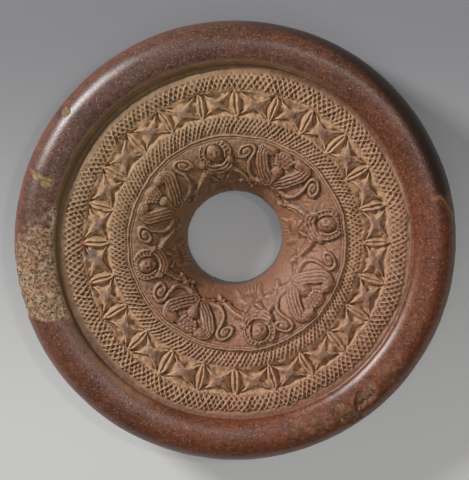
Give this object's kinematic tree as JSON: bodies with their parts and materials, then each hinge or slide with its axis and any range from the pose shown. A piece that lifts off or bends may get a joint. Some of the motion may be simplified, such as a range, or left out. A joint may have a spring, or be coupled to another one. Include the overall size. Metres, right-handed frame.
{
  "type": "carved ringstone",
  "caption": "Thick stone ring with a polished rolled rim, carved on one face with hatched bands, stars, figures and palmettes around a funnel-shaped hole.",
  "frame": {"origin": "on the ring's axis, at the level of the flat back face that it lies on", "axes": "+Z out of the carved face, +X to the right and +Y up as the carved face is seen in the picture"},
  "size_m": [0.09, 0.09, 0.018],
  "materials": {
    "stone": "fine reddish brown stone, rubbed to a soft polish on the rim and dusty in the carving"
  },
  "bodies": {
    "root": {"ringstone": "stone"}
  },
  "joints": []
}
